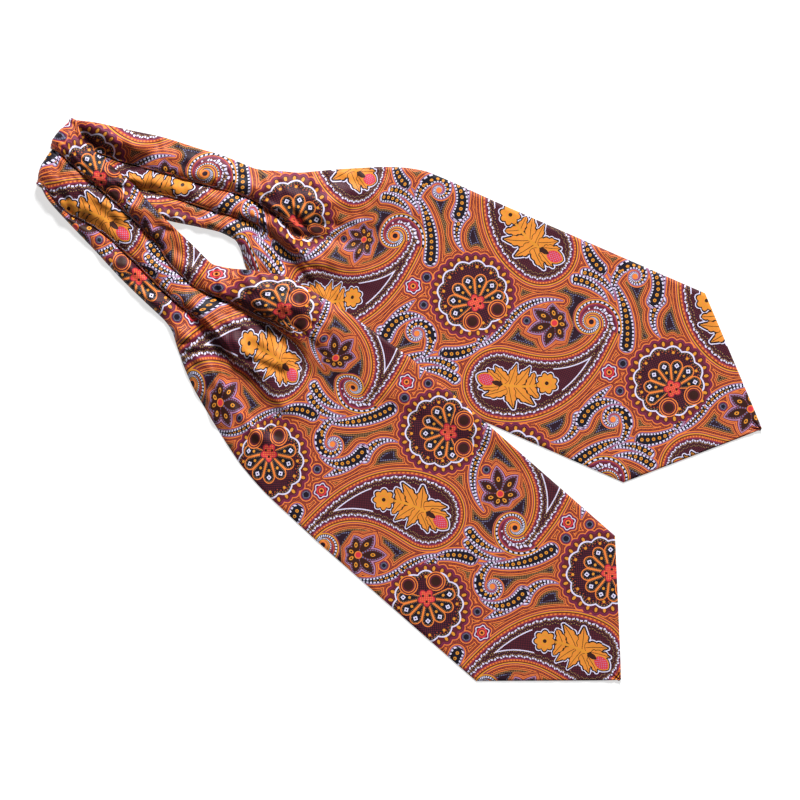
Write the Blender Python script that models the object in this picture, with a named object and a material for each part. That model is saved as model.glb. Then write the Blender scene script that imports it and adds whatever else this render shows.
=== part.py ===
"""A silk cravat laid flat: two pointed blades on a pleated neckband, folded over at the back of the neck.

Lengths in the tables are millimetres, and turn into metres where a point is made. Each half has its
own plan frame: 'back' runs from the blade's tip towards the fold, and 'across' runs to the left of
someone who stands at the fold and looks at the tip. The under half lies on the table, and the over
half lies on the table and, where they cross, on the under half.
"""
import math
from collections import namedtuple

import bmesh
import bpy

MM = 0.001
MERGE = 0.00002

# Driving dimensions, in millimetres
SEAM_GAP = 0.3           # clear space where two solids meet
FALL = 14.0              # how far past the under half's edge the over half takes to reach the table
CLEARING = 6.0           # reach within which the over half clears the under half's highest point
STAND_OFF = 5.0          # height of the over half's lower face at the fold
STAND_OFF_RUN = 60.0     # length over which that height dies away from the fold
FOLD_STEPS = 7           # facets round the fold's nose
FOLD_BOW = 2.6           # how far the fold's middle bows out past the line between its ends
HEM = 1.2                # width of the rounded hem along a free edge
HEM_DROP = 0.5           # how far the hem's outer line lies below the cloth's top
NARROWEST = 3.0          # no two neighbouring sections stand closer than this, but for a corner's own
SHARP = math.radians(50.0)

# One row for each section of a half, from the fold to the tip. Right and left are the cloth's edges,
# crease_a and crease_b the two knife pleats, or the soft valleys that they open into on the blade.
# Edge, low and high are the top's heights at the free edges, in a pleat's valley and on its upper
# fold, run is the width from that valley to that fold, puff the rise between them, wall the
# thickness of the cloth or of the pleated stack, and slant how far the section leans from square.
Row = namedtuple("Row", "back right crease_a crease_b left edge low high run puff wall slant")

OVER_ROWS = [
    Row(599.6, -8.5, -4.8, 22.0, 45.6, 3.0, 2.6, 3.9, 0.5, 0.3, 4.6, 0.25),
    Row(585.0, -12.3, -8.0, 21.5, 39.4, 3.0, 2.5, 4.0, 0.5, 0.4, 4.6, 0.12),
    Row(567.0, -14.4, -9.3, 21.3, 39.7, 3.0, 2.4, 4.1, 0.5, 0.4, 4.6, 0.03),
    Row(543.0, -16.6, -3.9, 21.5, 40.0, 3.0, 2.4, 4.1, 0.5, 0.5, 4.6, 0.0),
    Row(526.0, -18.2, -2.4, 21.0, 38.2, 3.0, 2.4, 4.2, 0.5, 0.5, 4.7, 0.0),
    Row(498.0, -21.1, -3.6, 18.4, 35.8, 3.0, 2.4, 4.2, 0.5, 0.6, 4.8, 0.0),
    Row(473.0, -22.3, -5.6, 12.5, 34.8, 3.0, 2.4, 4.4, 0.5, 0.7, 5.0, 0.0),
    Row(455.0, -22.9, -5.8, 12.5, 33.7, 3.0, 2.3, 4.8, 0.6, 0.8, 5.2, 0.0),
    Row(446.0, -24.4, -5.5, 13.8, 37.5, 2.8, 2.2, 5.2, 0.7, 1.0, 5.0, 0.0),
    Row(430.0, -33.2, -4.6, 19.0, 48.2, 2.2, 2.0, 5.8, 1.2, 1.8, 3.6, 0.0),
    Row(416.0, -41.0, -6.5, 21.5, 57.3, 1.8, 1.8, 6.0, 3.0, 2.6, 2.4, 0.0),
    Row(400.0, -48.3, -13.0, 23.5, 65.4, 1.6, 1.8, 5.6, 6.0, 3.0, 1.9, 0.0),
    Row(385.0, -53.4, -20.5, 28.0, 68.5, 1.6, 1.7, 4.6, 10.0, 2.8, 1.7, 0.0),
    Row(370.0, -58.3, -25.0, 28.5, 71.2, 1.6, 1.6, 3.6, 13.0, 2.2, 1.6, 0.0),
    Row(350.0, -64.3, -29.0, 25.0, 74.6, 1.6, 1.6, 2.5, 15.0, 1.3, 1.6, 0.0),
    Row(330.0, -69.3, -29.0, 24.0, 76.7, 1.6, 1.6, 1.8, 15.0, 0.5, 1.6, 0.0),
    Row(300.0, -72.9, -29.0, 24.0, 79.4, 1.6, 1.6, 1.6, 15.0, 0.0, 1.6, 0.0),
    Row(285.0, -73.4, -29.0, 24.0, 80.6, 1.6, 1.6, 1.6, 15.0, 0.0, 1.6, 0.0),
    Row(240.0, -74.5, -28.0, 24.0, 81.2, 1.6, 1.6, 1.6, 15.0, 0.0, 1.6, 0.0),
    Row(0.0, -74.8, -28.0, 24.0, 81.2, 1.6, 1.6, 1.6, 15.0, 0.0, 1.6, 0.0),
]

UNDER_ROWS = [
    Row(587.7, -50.8, -32.0, -15.0, 5.5, 3.0, 2.5, 3.8, 0.5, 0.2, 4.4, -0.06),
    Row(568.0, -46.7, -28.0, -11.5, 10.3, 3.0, 2.4, 3.9, 0.5, 0.2, 4.4, 0.0),
    Row(543.0, -41.7, -24.3, -9.5, 15.3, 3.0, 2.4, 3.9, 0.5, 0.3, 4.4, 0.0),
    Row(518.0, -38.5, -22.2, -5.0, 20.4, 3.0, 2.4, 4.0, 0.5, 0.4, 4.4, 0.0),
    Row(492.0, -37.2, -18.3, -1.8, 23.2, 3.0, 2.4, 4.1, 0.5, 0.5, 4.6, 0.0),
    Row(466.0, -32.2, -16.0, 1.8, 26.1, 3.0, 2.4, 4.3, 0.5, 0.7, 5.0, 0.0),
    Row(446.0, -29.0, -13.0, 4.5, 26.5, 2.9, 2.2, 4.8, 0.6, 0.9, 5.2, 0.0),
    Row(436.0, -29.8, -12.2, 4.8, 28.6, 2.6, 2.1, 5.2, 0.8, 1.3, 4.6, 0.0),
    Row(430.0, -33.7, -12.2, 4.6, 31.0, 2.4, 2.0, 5.4, 1.0, 1.6, 3.8, 0.0),
    Row(420.0, -45.5, -13.5, 3.5, 34.5, 2.0, 1.8, 5.6, 2.0, 2.0, 2.8, 0.0),
    Row(412.0, -53.0, -15.5, 1.5, 37.2, 1.8, 1.8, 5.6, 3.5, 2.3, 2.2, 0.0),
    Row(400.0, -61.0, -20.0, -2.5, 43.5, 1.6, 1.8, 5.0, 6.0, 2.4, 1.9, 0.0),
    Row(387.0, -68.5, -28.5, -4.7, 50.7, 1.6, 1.7, 4.2, 9.0, 2.4, 1.7, 0.0),
    Row(370.0, -75.0, -37.0, 0.0, 59.5, 1.6, 1.6, 3.2, 12.0, 1.9, 1.6, 0.0),
    Row(350.0, -79.5, -38.0, 5.0, 69.3, 1.6, 1.6, 2.2, 14.0, 1.1, 1.6, 0.0),
    Row(331.0, -81.0, -37.5, 10.0, 76.1, 1.6, 1.6, 1.7, 15.0, 0.4, 1.6, 0.0),
    Row(319.0, -81.3, -37.5, 11.0, 78.5, 1.6, 1.6, 1.6, 15.0, 0.1, 1.6, 0.0),
    Row(300.0, -81.5, -37.5, 12.0, 78.9, 1.6, 1.6, 1.6, 15.0, 0.0, 1.6, 0.0),
    Row(257.0, -81.5, -37.5, 12.0, 78.4, 1.6, 1.6, 1.6, 15.0, 0.0, 1.6, 0.0),
    Row(0.0, -81.2, -37.5, 12.0, 79.0, 1.6, 1.6, 1.6, 15.0, 0.0, 1.6, 0.0),
]

# A half's tip in plan, the direction that its blade points in, how far back its two corners lie, and
# where the blade's solid ends and the band's begins.
Half = namedtuple("Half", "rows tip_x tip_y heading left_corner right_corner seam strips")

OVER = Half(OVER_ROWS, 172.52, -217.91, -41.2, 77.5, 84.6, 448.0, (5, 6, 7))
UNDER = Half(UNDER_ROWS, 282.50, -22.13, -23.7, 83.3, 82.3, 446.0, (6, 6, 6))

# How far apart the sections stand: past this distance back from the tip, this spacing
STATION_SPACING = [(0.0, 16.0), (100.0, 22.0), (230.0, 14.0), (300.0, 9.0), (400.0, 6.5), (450.0, 10.0)]

SILK = (0.42, 0.16, 0.07, 1.0)
BAND_SILK = (0.36, 0.12, 0.06, 1.0)


def ease(x):
    """A smooth step from 0 to 1."""
    x = min(max(x, 0.0), 1.0)
    return x * x * (3.0 - 2.0 * x)


def slopes(places, values):
    """Slopes of a curve through the values that never swings past them."""
    steps = [b - a for a, b in zip(places, places[1:])]
    rises = [(b - a) / h for a, b, h in zip(values, values[1:], steps)]
    found = [rises[0]]
    for h_in, h_out, r_in, r_out in zip(steps, steps[1:], rises, rises[1:]):
        if r_in * r_out <= 0.0:
            found.append(0.0)
            continue
        weight_in = 2.0 * h_out + h_in
        weight_out = h_out + 2.0 * h_in
        found.append((weight_in + weight_out) / (weight_in / r_in + weight_out / r_out))
    return found + [rises[-1]]


def make_curves(rows):
    """For each column, its values and slopes, with the distance back growing."""
    ordered = sorted(rows, key=lambda row: row.back)
    places = [row.back for row in ordered]
    columns = {}
    for name in Row._fields:
        values = [getattr(row, name) for row in ordered]
        columns[name] = (values, slopes(places, values))
    return places, columns


CURVES = {id(half.rows): make_curves(half.rows) for half in (OVER, UNDER)}


def section(half, back):
    """The table's row at any distance back from the tip."""
    places, columns = CURVES[id(half.rows)]
    back = min(max(back, places[0]), places[-1])
    index = max(i for i in range(len(places) - 1) if places[i] <= back)
    span = places[index + 1] - places[index]
    t = (back - places[index]) / span
    found = {}
    for name, (values, rates) in columns.items():
        found[name] = (values[index] * (1 + 2 * t) * (1 - t) ** 2
                       + rates[index] * span * t * (1 - t) ** 2
                       + values[index + 1] * t * t * (3 - 2 * t)
                       + rates[index + 1] * span * t * t * (t - 1))
    row = Row(**found)
    return to_point(half, row, back)


def to_point(half, row, back):
    """Narrow a section where the blade comes to its point."""
    if back >= max(half.left_corner, half.right_corner):
        return row
    left = row.left * min(1.0, back / half.left_corner)
    right = row.right * min(1.0, back / half.right_corner)
    scale = (left - right) / (row.left - row.right)
    crease_a = right + (row.crease_a - row.right) * scale
    crease_b = right + (row.crease_b - row.right) * scale
    return row._replace(left=left, right=right, crease_a=crease_a, crease_b=crease_b, run=row.run * scale)


def top_height(row, across):
    """Height of the cloth's top above what it rests on, at a place across a section."""
    a_high = row.crease_a + row.run
    b_high = row.crease_b + row.run
    if across <= row.crease_a:
        start, end, low, high = row.right, row.crease_a, row.edge, row.low
    elif across <= a_high:
        return row.low + (row.high - row.low) * ease((across - row.crease_a) / row.run)
    elif across <= row.crease_b:
        start, end, low, high = a_high, row.crease_b, row.high, row.low
    elif across <= b_high:
        return row.low + (row.high - row.low) * ease((across - row.crease_b) / row.run)
    else:
        start, end, low, high = b_high, row.left, row.high, row.edge
    part = min(max((across - start) / max(end - start, 0.01), 0.0), 1.0)
    return low + (high - low) * part + row.puff * math.sin(math.pi * part)


def to_plan(half, back, across):
    """Plan place, in millimetres, of a point of a half."""
    turn = math.radians(half.heading)
    x = half.tip_x - back * math.cos(turn) - across * math.sin(turn)
    y = half.tip_y - back * math.sin(turn) + across * math.cos(turn)
    return x, y


def from_plan(half, x, y):
    """Distance back and across of a plan place."""
    turn = math.radians(half.heading)
    dx = x - half.tip_x
    dy = y - half.tip_y
    return -dx * math.cos(turn) - dy * math.sin(turn), -dx * math.sin(turn) + dy * math.cos(turn)


def under_height(x, y):
    """Height that the under half holds up at a plan place, dying away past its edges."""
    back, across = from_plan(UNDER, x, y)
    if back <= 0.0:
        return 0.0
    row = section(UNDER, back)
    outside = max(row.right - across, across - row.left, 0.0)
    if outside >= FALL:
        return 0.0
    inside = min(max(across, row.right), row.left)
    return (top_height(row, inside) + SEAM_GAP) * ease(1.0 - outside / FALL)


def rest_height(half, back, x, y):
    """Height of a half's lower face where the cloth lies flat on what is below it."""
    if half is UNDER:
        return 0.0
    reach = (-CLEARING, 0.0, CLEARING)
    held = max(under_height(x + dx, y + dy) for dx in reach for dy in reach)
    from_fold = OVER_ROWS[0].back - back
    return max(held, STAND_OFF * ease(1.0 - from_fold / STAND_OFF_RUN))


def places_across(half, row):
    """Places across a section: hems, strips and both sides of each pleat."""
    a_high = row.crease_a + row.run
    b_high = row.crease_b + row.run
    spans = [(row.right, row.crease_a), (a_high, row.crease_b), (b_high, row.left)]
    places = []
    for (start, end), count in zip(spans, half.strips):
        places += [start + (end - start) * i / count for i in range(count + 1)]
    places.insert(1, row.right + min(HEM, 0.5 * (places[1] - places[0])))
    places.insert(-1, row.left - min(HEM, 0.5 * (places[-1] - places[-2])))
    return places


def ring(half, back):
    """The top and bottom points of one section, from its right edge to its left."""
    row = section(half, back)
    middle = 0.5 * (row.left + row.right)
    top = []
    bottom = []
    places = places_across(half, row)
    for across in places:
        x, y = to_plan(half, back + row.slant * (across - middle), across)
        rest = rest_height(half, back, x, y)
        height = top_height(row, across)
        lower = max(0.0, height - row.wall)
        if across in (places[0], places[-1]):
            height -= HEM_DROP
        top.append((x, y, rest + height))
        bottom.append((x, y, rest + lower))
    return top, bottom


def stations(start, end, corners):
    """Distances back of a solid's sections, close together where the cloth fans out."""
    places = [start]
    while places[-1] < end:
        spacing = [gap for beyond, gap in STATION_SPACING if places[-1] >= beyond][-1]
        places.append(places[-1] + spacing)
    places[-1] = end
    if places[-1] - places[-2] < NARROWEST:
        places.pop(-2)
    near = [p for p in places if all(abs(p - c) > NARROWEST for c in corners)]
    return sorted(near + [c for c in corners if start < c < end])


def nose_rings():
    """The neckband's turn at the fold, from the over half's end round to the table."""
    top, bottom = ring(OVER, OVER_ROWS[0].back)
    first, last = top[0], top[-1]
    length = math.hypot(last[0] - first[0], last[1] - first[1])
    normal = (-(last[1] - first[1]) / length, (last[0] - first[0]) / length)
    centre = 0.5 * (STAND_OFF + section(UNDER, UNDER_ROWS[0].back).high)
    rings = []
    for step in range(1, FOLD_STEPS + 1):
        turned = step / FOLD_STEPS
        angle = math.pi * turned
        outer_points = []
        inner_points = []
        for above, below in zip(top, bottom):
            outer = (above[2] - centre) * (1 - turned) + centre * turned
            inner = (below[2] - centre) * (1 - turned) + (STAND_OFF - centre) * turned
            along = math.hypot(above[0] - first[0], above[1] - first[1]) / length
            bow = FOLD_BOW * math.sin(math.pi * along)
            for radius, points in ((outer, outer_points), (inner, inner_points)):
                out = (radius + bow) * math.sin(angle)
                points.append((above[0] + normal[0] * out, above[1] + normal[1] * out,
                               centre + radius * math.cos(angle)))
        rings.append((outer_points, inner_points))
    return rings


def loft(name, rings, material, collection):
    """Join sections into one closed solid, merging a section that has come to a point."""
    mesh = bmesh.new()
    loops = []
    for top, bottom in rings:
        points = list(top) + list(reversed(bottom))
        loops.append([mesh.verts.new((x * MM, y * MM, z * MM)) for x, y, z in points])
    count = len(loops[0])
    for before, after in zip(loops, loops[1:]):
        for i in range(count):
            j = (i + 1) % count
            mesh.faces.new((before[i], before[j], after[j], after[i]))
    half_count = count // 2
    for loop in (loops[0], loops[-1]):
        for i in range(half_count - 1):
            mesh.faces.new((loop[i], loop[i + 1], loop[count - 2 - i], loop[count - 1 - i]))
    bmesh.ops.remove_doubles(mesh, verts=mesh.verts, dist=MERGE)
    bmesh.ops.dissolve_degenerate(mesh, dist=MERGE / 2, edges=mesh.edges)
    bmesh.ops.recalc_face_normals(mesh, faces=mesh.faces)
    data = bpy.data.meshes.new(name)
    mesh.to_mesh(data)
    mesh.free()
    data.materials.append(material)
    data.shade_smooth()
    data.set_sharp_from_angle(angle=SHARP)
    piece = bpy.data.objects.new(name, data)
    collection.objects.link(piece)
    return piece


def silk(name, colour):
    """Woven silk with a low sheen."""
    material = bpy.data.materials.new(name)
    material.use_nodes = True
    shader = material.node_tree.nodes["Principled BSDF"]
    shader.inputs["Base Color"].default_value = colour
    shader.inputs["Roughness"].default_value = 0.55
    shader.inputs["Metallic"].default_value = 0.0
    material.diffuse_color = colour
    return material


def blade(name, half, collection):
    """A flat pointed blade, from its tip to where its pleats are gathered."""
    corners = (half.left_corner, half.right_corner)
    rings = [ring(half, back) for back in stations(0.0, half.seam - 0.5 * SEAM_GAP, corners)]
    return loft(name, rings, silk(name + "_silk", SILK), collection)


def band(name, half, end, extra_rings, collection):
    """Half of the pleated neckband, from the blade to the fold."""
    rings = [ring(half, back) for back in stations(half.seam + 0.5 * SEAM_GAP, end, ())]
    return loft(name, rings + extra_rings, silk(name + "_silk", BAND_SILK), collection)


def main():
    for old in list(bpy.data.objects):
        bpy.data.objects.remove(old, do_unlink=True)
    collection = bpy.data.collections.new("silk_cravat")
    bpy.context.scene.collection.children.link(collection)
    blade("blade_under", UNDER, collection)
    band("band_under", UNDER, UNDER_ROWS[0].back - SEAM_GAP, [], collection)
    blade("blade_over", OVER, collection)
    band("band_over", OVER, OVER_ROWS[0].back, nose_rings(), collection)


main()
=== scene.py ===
"""Looks of a silk cravat laid flat: two long halves of printed silk, pleated along the neckband.

Lengths in the tables are millimetres, and turn into metres where a mesh is made. Each half has its
own plan frame: 'back' runs from the blade's tip towards the fold, and 'across' runs to the left of
someone who stands at the fold and looks at the tip. The under half lies on the table, and the over
half lies on the table and, where they cross, on the under half.
"""

import math
from collections import namedtuple

import bpy
import numpy as np
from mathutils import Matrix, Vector


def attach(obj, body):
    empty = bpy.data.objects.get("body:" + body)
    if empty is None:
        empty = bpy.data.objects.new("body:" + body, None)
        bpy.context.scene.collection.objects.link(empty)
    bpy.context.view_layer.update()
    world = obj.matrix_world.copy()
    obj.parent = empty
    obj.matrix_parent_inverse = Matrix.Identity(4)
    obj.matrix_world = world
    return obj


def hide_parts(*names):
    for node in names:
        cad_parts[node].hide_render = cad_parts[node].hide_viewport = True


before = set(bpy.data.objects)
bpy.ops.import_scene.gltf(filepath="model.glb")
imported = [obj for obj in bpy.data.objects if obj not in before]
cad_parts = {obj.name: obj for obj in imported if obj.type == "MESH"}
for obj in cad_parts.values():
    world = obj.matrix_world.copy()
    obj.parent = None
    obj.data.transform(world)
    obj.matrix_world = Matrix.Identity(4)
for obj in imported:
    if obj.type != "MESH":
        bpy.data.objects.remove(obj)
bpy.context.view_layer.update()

MM = 0.001
FULL_TURN = 2.0 * math.pi

# Driving dimensions of the cloth, in millimetres
SEAM_GAP = 0.3           # clear space where the two halves meet
FALL = 14.0              # how far past the under half's edge the over half takes to reach the table
CLEARING = 6.0           # reach within which the over half clears the under half's highest point
STAND_OFF = 5.0          # height of the over half's lower face at the fold
STAND_OFF_RUN = 60.0     # length over which that height dies away from the fold
FOLD_STEPS = 22          # sections round the fold's nose
TURN_LENGTH = 6.4        # length of cloth in the turn round the nose
FOLD_BOW = 2.6           # how far the fold's middle bows out past the line between its ends
TIP = 0.6                # the first section's distance back from the point
ROW_SPACING = [(0.0, 2.4), (300.0, 1.8), (380.0, 1.2), (470.0, 1.8)]
EDGE = [(0.0, 0.95), (0.15, 0.6), (0.45, 0.3), (0.95, 0.08), (1.7, 0.0)]
LAYER_BULGE = 0.35       # how far each layer of cloth stands out of a side edge
LIP_BULGE = 1.5          # how far a pleat's upper fold overhangs the strip below it
LIP_DIP = 2.0            # how far the strip below sinks under that fold
LIP_REACH = 3.2          # width over which it sinks
FULLNESS = 2.0           # how much fuller each strip between pleats is than in the solids
ROLL = 2.1               # extra fullness of each strip where the pleats are pressed into the band
THINNEST = 0.6           # least height of the cloth's top, where a crease is deepest
RIDGE = 0.35             # height of the soft ridge beside a crease, as a share of its depth
CREASE_ENDS = 0.22       # share of a crease's length over which it dies away at each end
CREST = 0.72             # under 1, a strip is fullest near its upper fold
FLAT_RIPPLE = 0.05       # height of the silk's soft ripples on the blades
BAND_RIPPLE = 0.34       # and where the cloth is gathered
STRIP_STEPS = 34         # cells across a strip of cloth between two pleats
LIP_STEPS = 6            # cells up a pleat's fold
BOTTOM_STEPS = 44        # cells across the lower face
FAN_START = 325.0        # distance back where the cloth begins to gather
FAN_RUN = 45.0           # length over which the print falls out of step with the blade's
FAN_END = 400.0          # distance back where the gathers begin to close into the band's pleats
BAND_RUN = 50.0          # length over which they do

# One row for each section of a half, from the fold to the tip, as in the solids. Only the over half's
# end reaches 2.8 further to its left here, which closes the fold's corner.
Row = namedtuple("Row", "back right crease_a crease_b left edge low high run puff wall slant")

OVER_ROWS = [
    Row(599.6, -8.5, -4.8, 22.0, 48.4, 3.0, 2.6, 3.9, 0.5, 0.3, 4.6, 0.25),
    Row(585.0, -12.3, -8.0, 21.5, 39.4, 3.0, 2.5, 4.0, 0.5, 0.4, 4.6, 0.12),
    Row(567.0, -14.4, -9.3, 21.3, 39.7, 3.0, 2.4, 4.1, 0.5, 0.4, 4.6, 0.03),
    Row(543.0, -16.6, -3.9, 21.5, 40.0, 3.0, 2.4, 4.1, 0.5, 0.5, 4.6, 0.0),
    Row(526.0, -18.2, -2.4, 21.0, 38.2, 3.0, 2.4, 4.2, 0.5, 0.5, 4.7, 0.0),
    Row(498.0, -21.1, -3.6, 18.4, 35.8, 3.0, 2.4, 4.2, 0.5, 0.6, 4.8, 0.0),
    Row(473.0, -22.3, -5.6, 12.5, 34.8, 3.0, 2.4, 4.4, 0.5, 0.7, 5.0, 0.0),
    Row(455.0, -22.9, -5.8, 12.5, 33.7, 3.0, 2.3, 4.8, 0.6, 0.8, 5.2, 0.0),
    Row(446.0, -24.4, -5.5, 13.8, 37.5, 2.8, 2.2, 5.2, 0.7, 1.0, 5.0, 0.0),
    Row(430.0, -33.2, -4.6, 19.0, 48.2, 2.2, 2.0, 5.8, 1.2, 1.8, 3.6, 0.0),
    Row(416.0, -41.0, -6.5, 21.5, 57.3, 1.8, 1.8, 6.0, 3.0, 2.6, 2.4, 0.0),
    Row(400.0, -48.3, -13.0, 23.5, 65.4, 1.6, 1.8, 5.6, 6.0, 3.0, 1.9, 0.0),
    Row(385.0, -53.4, -20.5, 28.0, 68.5, 1.6, 1.7, 4.6, 10.0, 2.8, 1.7, 0.0),
    Row(370.0, -58.3, -25.0, 28.5, 71.2, 1.6, 1.6, 3.6, 13.0, 2.2, 1.6, 0.0),
    Row(350.0, -64.3, -29.0, 25.0, 74.6, 1.6, 1.6, 2.5, 15.0, 1.3, 1.6, 0.0),
    Row(330.0, -69.3, -29.0, 24.0, 76.7, 1.6, 1.6, 1.8, 15.0, 0.5, 1.6, 0.0),
    Row(300.0, -72.9, -29.0, 24.0, 79.4, 1.6, 1.6, 1.6, 15.0, 0.0, 1.6, 0.0),
    Row(285.0, -73.4, -29.0, 24.0, 80.6, 1.6, 1.6, 1.6, 15.0, 0.0, 1.6, 0.0),
    Row(240.0, -74.5, -28.0, 24.0, 81.2, 1.6, 1.6, 1.6, 15.0, 0.0, 1.6, 0.0),
    Row(0.0, -74.8, -28.0, 24.0, 81.2, 1.6, 1.6, 1.6, 15.0, 0.0, 1.6, 0.0),
]

UNDER_ROWS = [
    Row(587.7, -50.8, -32.0, -15.0, 5.5, 3.0, 2.5, 3.8, 0.5, 0.2, 4.4, -0.06),
    Row(568.0, -46.7, -28.0, -11.5, 10.3, 3.0, 2.4, 3.9, 0.5, 0.2, 4.4, 0.0),
    Row(543.0, -41.7, -24.3, -9.5, 15.3, 3.0, 2.4, 3.9, 0.5, 0.3, 4.4, 0.0),
    Row(518.0, -38.5, -22.2, -5.0, 20.4, 3.0, 2.4, 4.0, 0.5, 0.4, 4.4, 0.0),
    Row(492.0, -37.2, -18.3, -1.8, 23.2, 3.0, 2.4, 4.1, 0.5, 0.5, 4.6, 0.0),
    Row(466.0, -32.2, -16.0, 1.8, 26.1, 3.0, 2.4, 4.3, 0.5, 0.7, 5.0, 0.0),
    Row(446.0, -29.0, -13.0, 4.5, 26.5, 2.9, 2.2, 4.8, 0.6, 0.9, 5.2, 0.0),
    Row(436.0, -29.8, -12.2, 4.8, 28.6, 2.6, 2.1, 5.2, 0.8, 1.3, 4.6, 0.0),
    Row(430.0, -33.7, -12.2, 4.6, 31.0, 2.4, 2.0, 5.4, 1.0, 1.6, 3.8, 0.0),
    Row(420.0, -45.5, -13.5, 3.5, 34.5, 2.0, 1.8, 5.6, 2.0, 2.0, 2.8, 0.0),
    Row(412.0, -53.0, -15.5, 1.5, 37.2, 1.8, 1.8, 5.6, 3.5, 2.3, 2.2, 0.0),
    Row(400.0, -61.0, -20.0, -2.5, 43.5, 1.6, 1.8, 5.0, 6.0, 2.4, 1.9, 0.0),
    Row(387.0, -68.5, -28.5, -4.7, 50.7, 1.6, 1.7, 4.2, 9.0, 2.4, 1.7, 0.0),
    Row(370.0, -75.0, -37.0, 0.0, 59.5, 1.6, 1.6, 3.2, 12.0, 1.9, 1.6, 0.0),
    Row(350.0, -79.5, -38.0, 5.0, 69.3, 1.6, 1.6, 2.2, 14.0, 1.1, 1.6, 0.0),
    Row(331.0, -81.0, -37.5, 10.0, 76.1, 1.6, 1.6, 1.7, 15.0, 0.4, 1.6, 0.0),
    Row(319.0, -81.3, -37.5, 11.0, 78.5, 1.6, 1.6, 1.6, 15.0, 0.1, 1.6, 0.0),
    Row(300.0, -81.5, -37.5, 12.0, 78.9, 1.6, 1.6, 1.6, 15.0, 0.0, 1.6, 0.0),
    Row(257.0, -81.5, -37.5, 12.0, 78.4, 1.6, 1.6, 1.6, 15.0, 0.0, 1.6, 0.0),
    Row(0.0, -81.2, -37.5, 12.0, 79.0, 1.6, 1.6, 1.6, 15.0, 0.0, 1.6, 0.0),
]

# A half's tip in plan, the direction its blade points in, how far back its two corners lie, and the
# width of its cloth. The last three place the print: across its middle, and along, and which way.
Half = namedtuple("Half", "rows tip_x tip_y heading left_corner right_corner width middle shift way")

# A crease is a trough along a path of places (back, across), from the fold towards the tip. Its two
# reaches are its half widths, towards the right edge and towards the left edge. Its depth is below
# the cloth round it, and fold is how far the cloth on its left leans out over it.
Crease = namedtuple("Crease", "right_reach left_reach depth fold path")

OVER_CREASES = [
    Crease(8.0, 2.4, 6.4, 1.6, [(444, -4), (424, -6), (409, -8), (396, -12), (378, -21)]),
    Crease(6.0, 8.5, 6.6, 0.7, [(408, -14), (388, -19), (368, -25), (345, -30), (318, -28)]),
    Crease(7.0, 3.2, 6.4, 1.4, [(412, 29), (394, 30), (378, 30), (364, 29), (353, 25), (344, 14)]),
    Crease(4.5, 3.0, 2.4, 0.5, [(420, 3), (411, 5), (402, 10), (392, 14)]),
    Crease(3.0, 2.4, 1.8, 0.3, [(390, -6), (372, 2), (350, 9)]),
    Crease(2.4, 2.0, 2.0, 0.3, [(434, -33), (423, -19), (413, -8)]),
    Crease(2.6, 2.2, 2.2, 0.3, [(430, -36), (416, -24), (402, -14)]),
    Crease(2.0, 1.6, 1.8, 0.3, [(462, 35), (452, 26), (444, 18)]),
    Crease(2.2, 1.8, 1.8, 0.3, [(456, 37), (444, 27), (434, 18)]),
    Crease(3.4, 2.4, 1.6, 0.4, [(446, 12), (430, 18), (410, 27)]),
    Crease(3.0, 3.0, 1.2, 0.1, [(580, 6), (556, 9), (530, 8), (512, 6)]),
    Crease(3.0, 3.0, 1.1, 0.1, [(520, 30), (495, 28), (472, 22)]),
    Crease(2.6, 2.6, 1.1, 0.1, [(508, -13), (482, -15), (462, -14)]),
    Crease(3.0, 3.0, 1.0, 0.1, [(590, -2), (572, -3), (560, -12)]),
    Crease(4.0, 4.0, 0.7, 0.0, [(372, 50), (345, 52), (318, 47)]),
    Crease(4.0, 4.0, 0.7, 0.0, [(352, -48), (325, -50), (296, -44)]),
]

UNDER_CREASES = [
    Crease(7.0, 5.0, 6.6, 1.2, [(440, -9), (421, -11), (402, -20), (389, -29), (378, -36), (360, -48)]),
    Crease(5.5, 2.2, 5.0, 1.0, [(434, 4), (416, 2), (403, -3), (391, -6), (370, -3)]),
    Crease(3.0, 2.4, 2.0, 0.3, [(440, 5), (418, -4), (398, -12)]),
    Crease(2.6, 1.6, 1.8, 0.4, [(412, 14), (396, 5), (376, -4)]),
    Crease(2.0, 1.6, 1.2, 0.2, [(476, 19), (467, 10), (459, 2)]),
    Crease(1.4, 1.0, 1.2, 0.2, [(370, 34), (363, 26), (357, 14), (354, 8)]),
    Crease(6.0, 7.0, 6.5, 0.6, [(594, 0), (578, -5), (563, -8), (548, -9), (533, -8), (516, -4)]),
    Crease(5.0, 6.0, 3.6, 0.5, [(540, -34), (526, -25), (512, -21), (498, -18)]),
    Crease(9.0, 6.0, -5.0, 0.0, [(586, 7), (572, 6), (555, 6), (538, 8), (520, 12)]),
    Crease(3.0, 3.0, 1.1, 0.1, [(500, -29), (478, -27), (458, -24)]),
    Crease(4.0, 4.0, 1.0, 0.0, [(398, -48), (372, -58), (346, -60)]),
    Crease(5.0, 5.0, 0.8, 0.0, [(352, 34), (322, 38), (292, 32)]),
]

# Soft ripples in silk that isn't pressed flat: lengths along and across from crest to crest, and a phase
Ripple = namedtuple("Ripple", "along across phase")
RIPPLES = [Ripple(37.0, 29.0, 0.4), Ripple(-23.0, 31.0, 2.1), Ripple(15.0, -21.0, 4.0), Ripple(53.0, 12.0, 5.2),
           Ripple(-19.0, 13.0, 1.3)]

OVER = Half(OVER_ROWS, 172.52, -217.91, -41.2, 77.5, 84.6, 156.0, 74.5, 192.5, -1.0)
UNDER = Half(UNDER_ROWS, 282.50, -22.13, -23.7, 83.3, 82.3, 160.0, 81.5, 207.5, 1.0)
OVER_PRINT_SHIFT = 51.0

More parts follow.
